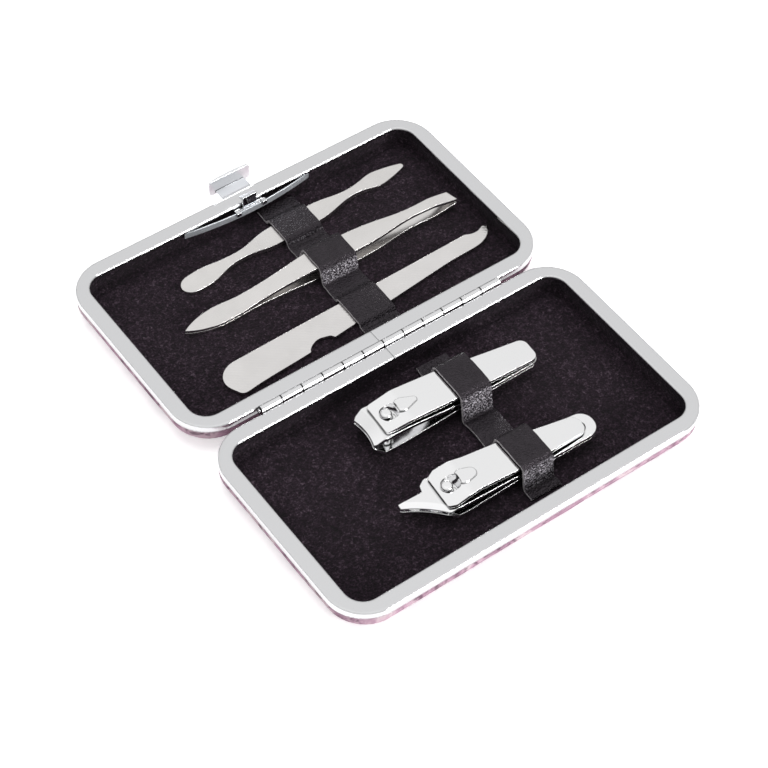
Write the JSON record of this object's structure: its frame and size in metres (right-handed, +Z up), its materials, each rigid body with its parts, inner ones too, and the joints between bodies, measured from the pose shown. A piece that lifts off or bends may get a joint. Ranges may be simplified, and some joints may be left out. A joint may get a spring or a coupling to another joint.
{
  "type": "manicure set case",
  "caption": "Chrome-framed clamshell case lying open, with leather loops that hold nail clippers, tweezers, a cuticle pusher and a nail file, and a sprung clasp.",
  "frame": {"origin": "centre of the open case's footprint, on the table", "axes": "+X along the hinge, +Y towards the half with the clasp, +Z up"},
  "size_m": [0.115, 0.1412, 0.0118],
  "materials": {
    "chromed_strip": "polished chrome on thin steel strip",
    "printed_skin": "smooth coated fabric with a marbled mauve and pink print",
    "board": "raw pressed board",
    "lining": "black short nap",
    "leather_strap": "black grained imitation leather",
    "chromed_hinge": "polished chrome",
    "chromed_clasp": "polished chrome",
    "chromed_clipper": "polished chrome",
    "steel_tool": "fine brushed stainless steel"
  },
  "bodies": {
    "front_half": {"front_frame": "chromed_strip", "front_skin": "printed_skin", "front_tray": "board", "front_lining_wall": "lining", "front_lining_floor": "lining", "front_strap": "leather_strap", "front_hinge_leaf": "chromed_hinge", "hinge_pin": "chromed_hinge"},
    "rear_half": {"rear_frame": "chromed_strip", "rear_skin": "printed_skin", "rear_tray": "board", "rear_lining_wall": "lining", "rear_lining_floor": "lining", "rear_strap": "leather_strap", "rear_hinge_leaf": "chromed_hinge"},
    "clasp": {"clasp_stem": "chromed_clasp", "clasp_cap": "chromed_clasp", "clasp_spring": "chromed_clasp"},
    "large_clipper": {"large_lower_blade": "chromed_clipper", "large_rivet": "chromed_clipper", "large_post": "chromed_clipper"},
    "large_clipper_upper_blade": {"large_upper_blade": "chromed_clipper"},
    "large_clipper_lever": {"large_lever": "chromed_clipper"},
    "small_clipper": {"small_lower_blade": "chromed_clipper", "small_rivet": "chromed_clipper", "small_post": "chromed_clipper"},
    "small_clipper_upper_blade": {"small_upper_blade": "chromed_clipper"},
    "small_clipper_lever": {"small_lever": "chromed_clipper"},
    "cuticle_pusher": {"cuticle_pusher": "steel_tool"},
    "tweezers": {"tweezers_lower_arm": "steel_tool"},
    "tweezers_upper": {"tweezers_upper_arm": "steel_tool"},
    "nail_file": {"nail_file": "steel_tool"}
  },
  "joints": [
    {"name": "case_hinge", "type": "hinge", "parent": "front_half", "child": "rear_half", "pos_m": [0, -0.00285, 0.0084], "axis": [1, 0, 0], "range_deg": [0, 180]},
    {"name": "clasp_push", "type": "slide", "parent": "rear_half", "child": "clasp", "axis": [0, -1, 0], "range_m": [0, 0.002], "stiffness_N_per_m": 900, "springref_m": -0.0005, "deforming": ["clasp_spring"]},
    {"name": "large_clipper_slide", "type": "slide", "parent": "front_half", "child": "large_clipper", "axis": [0.9977, -0.068, 0], "range_m": [-0.0265, 0]},
    {"name": "large_clipper_squeeze", "type": "hinge", "parent": "large_clipper", "child": "large_clipper_upper_blade", "pos_m": [0.02016, -0.02596, 0.00628], "axis": [-0.068, -0.9977, 0], "range_deg": [0, 1.4], "stiffness_Nm_per_rad": 20, "springref_deg": -0.29},
    {"name": "large_clipper_lever_tilt", "type": "hinge", "parent": "large_clipper", "child": "large_clipper_lever", "pos_m": [-0.01598, -0.0235, 0.00932], "axis": [-0.068, -0.9977, 0], "range_deg": [-0.2, 0.1]},
    {"name": "small_clipper_slide", "type": "slide", "parent": "front_half", "child": "small_clipper", "axis": [0.996, -0.0889, 0], "range_m": [-0.0265, 0]},
    {"name": "small_clipper_squeeze", "type": "hinge", "parent": "small_clipper", "child": "small_clipper_upper_blade", "pos_m": [0.01825, -0.05283, 0.00612], "axis": [-0.0889, -0.996, 0], "range_deg": [0, 1.4], "stiffness_Nm_per_rad": 20, "springref_deg": -0.29},
    {"name": "small_clipper_lever_tilt", "type": "hinge", "parent": "small_clipper", "child": "small_clipper_lever", "pos_m": [-0.01614, -0.04976, 0.00771], "axis": [-0.0889, -0.996, 0], "range_deg": [-0.2, 0.2]},
    {"name": "cuticle_pusher_slide", "type": "slide", "parent": "rear_half", "child": "cuticle_pusher", "axis": [0.9985, 0.055, 0], "range_m": [-0.022, 0.006]},
    {"name": "tweezers_slide", "type": "slide", "parent": "rear_half", "child": "tweezers", "axis": [0.9997, -0.0262, 0], "range_m": [-0.014, 0.003]},
    {"name": "tweezers_squeeze", "type": "hinge", "parent": "tweezers", "child": "tweezers_upper", "pos_m": [-0.02096, 0.03313, 0.0031], "axis": [0.0262, 0.9997, 0], "range_deg": [0, 0.35], "stiffness_Nm_per_rad": 4, "springref_deg": -0.29},
    {"name": "nail_file_slide", "type": "slide", "parent": "rear_half", "child": "nail_file", "axis": [0.9999, 0.0164, 0], "range_m": [-0.013, 0.002]}
  ]
}
